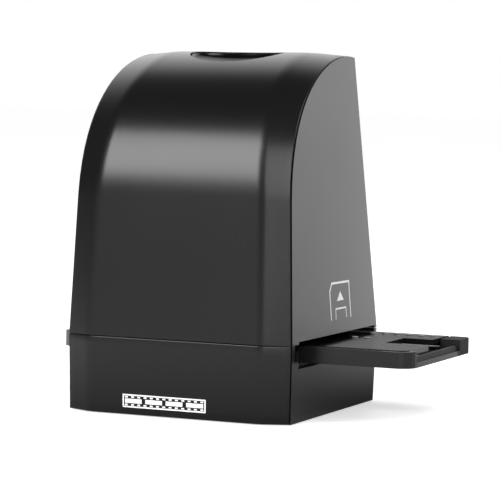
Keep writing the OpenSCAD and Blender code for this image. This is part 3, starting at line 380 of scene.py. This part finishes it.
def shell_ring(row, depth=0.0, along=0.0, across=14):
    """One ring across the case, below the face by depth and shifted along the path."""
    y, z, ny, nz = row[:4]
    y, z = y + nz * along, z - ny * along

    def place(side, dx, down):
        py, pz = y - ny * (down + depth), z - nz * (down + depth)
        return (side * (half_w(pz) - dx), py, pz)

    half = half_section(*row[4:])
    left, right = [[place(side, dx, down) for dx, down in half] for side in (-1, 1)]
    middle = [tuple(mix(a, b, i / across) for a, b in zip(left[-1], right[-1])) for i in range(1, across)]
    return left + middle + right[::-1]


def turned_in(r):
    """(depth, way along the path) of a rim that turns inwards with radius r."""
    return [(SHELL, 0.0), (r, 0.0), (r * 0.45, 0.1 * r), (r * 0.15, 0.4 * r), (0.0, r)]


def front_shell(name, rows, low_round, high_round):
    """Skin over the rows, with rounded lower and upper rims that turn inwards."""
    rings = [shell_ring(rows[0], depth, along) for depth, along in turned_in(low_round)]
    rings += [shell_ring(row) for row in rows[1:-1]]
    rings += [shell_ring(rows[-1], depth, -along) for depth, along in turned_in(high_round)[::-1]]
    return add_mesh(name, *grid(rings))


def oval(l, w, z_of):
    """Ring of an oval round the button's axis, with half lengths l and w."""
    out = []
    for k in range(ROUND):
        a = 2 * math.pi * k / ROUND
        x, y = l * math.cos(a), BUTTON_Y + w * math.sin(a)
        out.append((x, y, z_of(x, y)))
    return out


def cut_well(cover, wall_share=0.7, lip_round=0.3, lip_low=121.5, lip_angle=35, near=0.004):
    """Gives the cover its wall, cuts the button's well through it and rounds the well's lip.
    The lip's edges lie near the oval, above lip_low, and are sharper than lip_angle."""
    low, high = CUP_FLOOR - 6, BODY_H + 8
    rings = [oval(WELL_L / 2, WELL_W / 2, lambda x, y, z=z: z) for z in (low, high)]
    verts, faces = grid(rings, closed=True)
    ends = [tuple(range(ROUND)), tuple(range(ROUND, 2 * ROUND))]
    cutter = add_mesh("well_cutter", verts, faces + ends, smooth=False)
    wall = cover.modifiers.new("wall", "SOLIDIFY")
    wall.thickness = SHELL * wall_share * MM
    wall.offset = -1
    cut = cover.modifiers.new("well", "BOOLEAN")
    cut.operation = "DIFFERENCE"
    cut.object = cutter
    cut.solver = "EXACT"
    bpy.context.view_layer.update()
    apply_modifiers(cover)
    bpy.data.objects.remove(cutter)

    def on_oval(v):
        across, along = v.co.x / MM * 2 / WELL_L, (v.co.y / MM - BUTTON_Y) * 2 / WELL_W
        return abs(across ** 2 + along ** 2 - 1) < near and v.co.z > lip_low * MM

    bm = bmesh.new()
    bm.from_mesh(cover.data)
    for v in bm.verts:  # the wall's inside bulges out over the rear edge
        v.co.y = min(v.co.y, BACK_TOP * MM)
    weights = bm.edges.layers.float.new("bevel_weight_edge")
    for e in bm.edges:
        if all(map(on_oval, e.verts)) and e.is_manifold and e.calc_face_angle(0) > math.radians(lip_angle):
            e[weights] = 1.0
    bm.to_mesh(cover.data)
    bm.free()
    lip = cover.modifiers.new("lip", "BEVEL")
    lip.width = lip_round * MM
    lip.segments = 3
    lip.limit_method = "WEIGHT"
    for polygon in cover.data.polygons:
        polygon.use_smooth = True
    normals = cover.modifiers.new("normals", "WEIGHTED_NORMAL")
    normals.weight = 60


cover = front_shell("front_cover_skin", cover_rows(), low_round=0.25, high_round=0.7)
cut_well(cover)
dress(cover, "case_front", "scanner")
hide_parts("front_cover")

base_rows = [(mix(FRONT + FOOT_FRONT, FRONT, i / 8), mix(BASE_Z, RIDGE_Z - SEAM, i / 8),
              -1.0, 0.0, BEVEL_LOW, BEVEL_W) for i in range(9)]
base = front_shell("base_front_skin", base_rows, low_round=0.8, high_round=0.25)
dress(base, "case_front", "scanner")
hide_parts("base_front")


# ---------------------------------------------------------------- scan button
def cover_z(y):
    """Height of the cover's face at y."""
    if y >= CURVE[3][0]:
        return BODY_H
    lo, hi = 0.0, 1.0
    for _ in range(30):
        t = (lo + hi) / 2
        lo, hi = (t, hi) if curve_point(t)[0] < y else (lo, t)
    return curve_point(lo)[1]


def dished_button(steepness=14, centre=0.001):
    """Cap with an oval hollow, whose rim lies just under the cover's face, and its skirt. The
    hollow is a shallow bowl inside a steep wall, where its rings lie closer together."""
    l, w = WELL_L / 2 - BUTTON_GAP, WELL_W / 2 - BUTTON_GAP

    def face(x, y, drop=0.0):
        out = min(1.0, (x / l) ** 2 + ((y - BUTTON_Y) / w) ** 2)
        return cover_z(y) - RIM_IN - DISH_DEEP * (1 - out) - DISH_WALL * (1 - out ** steepness) - drop

    steps = [k / 30 for k in range(25)] + [0.8 + 0.01 * k for k in range(1, 20)]
    rings = [oval(l * k + centre, w * k + centre, face) for k in steps]
    for inset, drop in ((0.06, 0.02), (0.02, 0.08), (0.0, 0.2)):
        rings.append(oval(l - inset, w - inset, lambda x, y, d=drop: face(x, y, d)))
    rings.append(oval(l, w, lambda x, y: BUTTON_LOW))
    return add_mesh("scan_button_cap", *grid(rings, closed=True))


button = dished_button()
dress(button, "button_black", "button")
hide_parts("scan_button")


# ---------------------------------------------------------------- end wall of the holder
def holder_end_wall():
    """Low wall on the holder's end bar, between the front wall and the corner block."""
    low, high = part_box("holder_base")
    x0, x1 = (high[0] / MM - inside for inside in END_WALL_X)
    y0, y1 = low[1] / MM + END_WALL_FRONT, high[1] / MM - END_WALL_REAR
    z0, z1 = low[2] / MM + END_WALL_LOW, high[2] / MM - END_WALL_HIGH
    edge = END_WALL_EDGE
    section = ((x0, z0), (x0, z1 - edge), (x0 + edge, z1), (x1 - edge, z1), (x1, z1 - edge), (x1, z0))
    rings = [[(x, mix(y0, y1, i / 12), z) for x, z in section] for i in range(13)]
    verts, faces = grid(rings, closed=True)
    corners, n = len(section), len(verts)
    ends = [tuple(range(corners)), tuple(range(n - corners, n))]
    return add_mesh("holder_end_wall", verts, faces + ends, smooth=False)


end_wall = holder_end_wall()
dress(end_wall, "inner_black", "holder")


# ---------------------------------------------------------------- printed marks
def stroke(points, width, place):
    """A flat printed line through 2-D points, as quads with mitred corners."""
    left, right = [], []
    for i, p in enumerate(points):
        before = Vector(p) - Vector(points[i - 1]) if i else None
        after = Vector(points[i + 1]) - Vector(p) if i < len(points) - 1 else None
        d1, d2 = (before or after).normalized(), (after or before).normalized()
        t = (d1 + d2).normalized()
        out = Vector((-t.y, t.x))
        k = width / 2 / max(0.5, out.dot(Vector((-d1.y, d1.x))))
        left.append(place(*(Vector(p) + out * k)))
        right.append(place(*(Vector(p) - out * k)))
    n = len(points)
    return left + right, [(i, i + 1, n + i + 1, n + i) for i in range(n - 1)]


def box_mark(a, b, c, d, place):
    """A filled rectangle from (a, b) to (c, d)."""
    return [place(a, b), place(c, b), place(c, d), place(a, d)], [(0, 1, 2, 3)]


def join(parts):
    """One pair of vertices and faces out of several."""
    verts, faces = [], []
    for v, f in parts:
        faces += [tuple(i + len(verts) for i in q) for q in f]
        verts += v
    return verts, faces


def on_side(y, z):
    """A point of a print on the right side wall."""
    return (half_w(z) + PRINT_UP, y, z)


def on_base(x, z):
    """A point of a print on the base front."""
    u = (z - BASE_Z) / (RIDGE_Z - SEAM - BASE_Z)
    return (x, mix(FRONT + FOOT_FRONT, FRONT, u) - PRINT_UP, z)


def insertion_symbol(line=0.75):
    """Holder and arrow that show which way the film goes in: outline, finger notch and arrow."""
    return join([
        stroke([(-2.2, 33.1), (-3.4, 43.3), (-1.5, 46.0), (0.0, 46.0)], line, on_side),
        stroke([(0.0, 46.0), (14.9, 45.9), (16.5, 32.9)], line, on_side),
        stroke([(2.2, 33.0), (2.1, 36.8), (11.7, 36.8), (12.4, 33.2)], line * 0.8, on_side),
        ([on_side(3.2, 39.5), on_side(9.8, 39.6), on_side(6.4, 42.9)], [(0, 1, 2)]),
    ])


def film_strip(x0=-18.8, x1=12.4, z0=3.1, z1=7.2, frames=4, holes=13):
    """A short strip of film with its frames and sprocket holes."""
    line, edge, frame_in = 0.5, 0.7, 1.3
    hole_l, hole_h = 0.55, 0.26  # half sizes
    parts = [stroke([(x0, z0), (x1, z0), (x1, z1), (x0, z1), (x0, z0)], line, on_base)]
    for k in range(holes):
        x = mix(x0, x1, (k + 0.5) / holes)
        for z in (z0 + edge, z1 - edge):
            parts.append(box_mark(x - hole_l, z - hole_h, x + hole_l, z + hole_h, on_base))
    for k in range(frames):
        a, b = mix(x0, x1, k / frames) + edge, mix(x0, x1, (k + 1) / frames) - edge
        parts.append(box_mark(a, z0 + frame_in, b, z1 - frame_in, on_base))
    return join(parts)


for name, mark, slot in (("insertion_symbol", insertion_symbol(), "case_side"),
                         ("film_strip_mark", film_strip(), "case_front")):
    dress(add_mesh(name, *mark, smooth=False), slot, "scanner", "print_white")

# ---------------------------------------------------------------- stage
AIM = Vector((0, 0, 0.07))
WARM = (1.0, 0.985, 0.98)


def direction(az, el):
    """Unit vector: azimuth 0 is +Y, 90 is +X, 180 is -Y."""
    a, e = math.radians(az), math.radians(el)
    return Vector((math.sin(a) * math.cos(e), math.cos(a) * math.cos(e), math.sin(e)))


def facing(towards):
    """Rotation that turns a plane's +Z side that way."""
    return towards.to_track_quat("Z", "Y").to_euler()


def stage_plane(name, w, h, place, towards, mat):
    """A flat rectangle that belongs to the studio."""
    mesh = bpy.data.meshes.new(name)
    x, y = w / 2, h / 2
    mesh.from_pydata([(-x, -y, 0), (x, -y, 0), (x, y, 0), (-x, y, 0)], [], [(0, 1, 2, 3)])
    ob = bpy.data.objects.new(name, mesh)
    ob.location = place
    ob.rotation_euler = facing(towards)
    ob.data.materials.append(mat)
    bpy.context.scene.collection.objects.link(ob)
    return ob


def floor_material(white=0.55, near=0.02, far=0.28, painted_shadow_level=0.02, far_level=1.0,
                   centre=(-0.04, -0.04, 0.0)):
    """White floor that keeps shadows. Gloss sees it dark close to the case, a painted shadow round the
    case that only reflections show, and bright further off, between the distances near and far from the
    centre."""
    mat = blank_material("floor")
    tree = mat.node_tree
    path = node(tree, "LightPath")
    seen = node(tree, "Math", {0: path.outputs["Is Camera Ray"], 1: path.outputs["Is Transmission Ray"]},
                operation="MAXIMUM")
    lift = node(tree, "Math", {0: seen.outputs[0], 1: white}, operation="MULTIPLY")
    paper = node(tree, "AddShader", {
        0: node(tree, "BsdfDiffuse", {"Color": (0.8, 0.8, 0.8, 1)}).outputs[0],
        1: node(tree, "Emission", {"Strength": lift.outputs[0]}).outputs[0]})
    # Painted shadow: the glow that reflections see is dimmer close to the case.
    away = node(tree, "VectorMath", {0: node(tree, "TexCoord").outputs["Object"], 1: centre},
                operation="DISTANCE")
    level = node(tree, "MapRange", {"Value": away.outputs["Value"], "From Min": near, "From Max": far,
                                    "To Min": painted_shadow_level, "To Max": far_level})
    gloss = node(tree, "Emission", {"Strength": level.outputs[0]})
    both = node(tree, "MixShader", {0: path.outputs["Is Glossy Ray"], 1: paper.outputs[0],
                                    2: gloss.outputs[0]})
    node(tree, "OutputMaterial", {"Surface": both.outputs[0]})
    return mat


def studio_world(even=0.55, wall=0.15, ceiling=0.04, wall_up=0.10, ceiling_up=0.55, patches=()):
    """White for the camera, even light for matt surfaces. Gloss sees a wall that darkens upwards
    and soft round patches: (azimuth, elevation, inner angle, outer angle, level)."""
    world = bpy.data.worlds.new("studio")
    world.use_nodes = True
    tree = world.node_tree
    tree.nodes.clear()
    way = node(tree, "TexCoord").outputs["Generated"]
    up = node(tree, "SeparateXYZ", {0: way}).outputs["Z"]
    total = node(tree, "MapRange", {"Value": up, "From Min": wall_up, "From Max": ceiling_up,
                                    "To Min": wall, "To Max": ceiling},
                 interpolation_type="SMOOTHSTEP").outputs[0]
    for az, el, inner, outer, level in patches:
        close = node(tree, "VectorMath", {0: way, 1: direction(az, el)}, operation="DOT_PRODUCT")
        patch = node(tree, "MapRange", {"Value": close.outputs["Value"],
                                        "From Min": math.cos(math.radians(outer)),
                                        "From Max": math.cos(math.radians(inner)),
                                        "To Min": 0.0, "To Max": level},
                     interpolation_type="SMOOTHSTEP")
        total = node(tree, "Math", {0: total, 1: patch.outputs[0]}, operation="ADD").outputs[0]
    path = node(tree, "LightPath")
    light = node(tree, "Mix", {"Factor": path.outputs["Is Glossy Ray"], "A": even, "B": total})
    white = node(tree, "Math", {0: path.outputs["Is Camera Ray"], 1: path.outputs["Is Transmission Ray"]},
                 operation="MAXIMUM")
    final = node(tree, "Mix", {"Factor": white.outputs[0], "A": light.outputs["Result"], "B": 1.0})
    back = node(tree, "Background", {"Color": (1, 1, 1, 1), "Strength": final.outputs["Result"]})
    node(tree, "OutputWorld", {"Surface": back.outputs[0]})
    bpy.context.scene.world = world


def softbox(name, az, el, dist, w, h, radiance, color=(1, 1, 1)):
    """Area light that faces the case and shows in reflections with that radiance."""
    way = direction(az, el)
    data = bpy.data.lights.new(name, "AREA")
    data.shape = "RECTANGLE"
    data.size, data.size_y = w, h
    data.energy = radiance * math.pi * w * h
    data.color = color
    ob = bpy.data.objects.new(name, data)
    ob.location = AIM + way * dist
    ob.rotation_euler = facing(way)
    bpy.context.scene.collection.objects.link(ob)


def card(name, place, towards, w, h, level):
    """A screen that only gloss sees: bright or dark."""
    mat = blank_material(name)
    glow = node(mat.node_tree, "Emission", {"Strength": level})
    node(mat.node_tree, "OutputMaterial", {"Surface": glow.outputs[0]})
    ob = stage_plane(name, w, h, place, towards, mat)
    for ray in ("camera", "diffuse", "shadow", "transmission", "volume_scatter"):
        setattr(ob, "visible_" + ray, False)


def far_card(name, az, el, dist, w, h, level):
    """A screen that faces the case from a direction."""
    way = direction(az, el)
    card(name, AIM + way * dist, way, w, h, level)


stage_plane("floor", 30, 30, (0, 0, 0), Vector((0, 0, 1)), floor_material())
studio_world(patches=(
    (-12, 10, 30, 56, 0.85),
    (-46, 26, 10, 34, 0.6),
    (30, 8, 8, 36, 1.15)))
softbox("key", az=-154, el=29.5, dist=1.6, w=0.70, h=0.88, radiance=8.8, color=WARM)
softbox("right", az=157, el=23, dist=1.8, w=0.6, h=1.2, radiance=4.2, color=WARM)
softbox("side", az=100, el=52, dist=1.2, w=0.6, h=0.6, radiance=4.0)
far_card("dark_left", az=-104, el=12, dist=1.5, w=1.0, h=1.1, level=0.05)
far_card("dark_back", az=-22, el=4.5, dist=1.5, w=0.8, h=0.2, level=0.25)
far_card("dark_front", az=181, el=14, dist=1.3, w=0.5, h=1.2, level=0.05)
card("side_panel", Vector((0.100, 0.30, 0.10)), Vector((1, 0, 0)), w=0.30, h=0.34, level=1.95)


# ---------------------------------------------------------------- camera
def photo_camera(place, look, roll, focal_px, frame_px=500.0, sensor=36.0):
    """The photograph's camera: its place in metres, the direction it looks in, its roll in
    degrees and its focal length in pixels of a frame frame_px wide."""
    data = bpy.data.cameras.new("camera")
    data.sensor_width = sensor
    data.lens = focal_px / frame_px * sensor
    data.clip_start, data.clip_end = 0.01, 100.0
    look = Vector(look).normalized()
    right = look.cross(Vector((0, 0, 1))).normalized()
    up = right.cross(look)
    a = math.radians(roll)
    right, up = right * math.cos(a) + up * math.sin(a), up * math.cos(a) - right * math.sin(a)
    pose = Matrix((right, up, -look)).transposed().to_4x4()
    pose.translation = Vector(place)
    ob = bpy.data.objects.new("camera", data)
    ob.matrix_world = pose
    bpy.context.scene.collection.objects.link(ob)
    bpy.context.scene.camera = ob


photo_camera(place=(0.34908, -0.77554, 0.11078), look=(-0.40013, 0.91421, -0.06412), roll=1.06,
             focal_px=2380.0)
bpy.context.scene.view_settings.view_transform = "Standard"

bpy.context.view_layer.update()
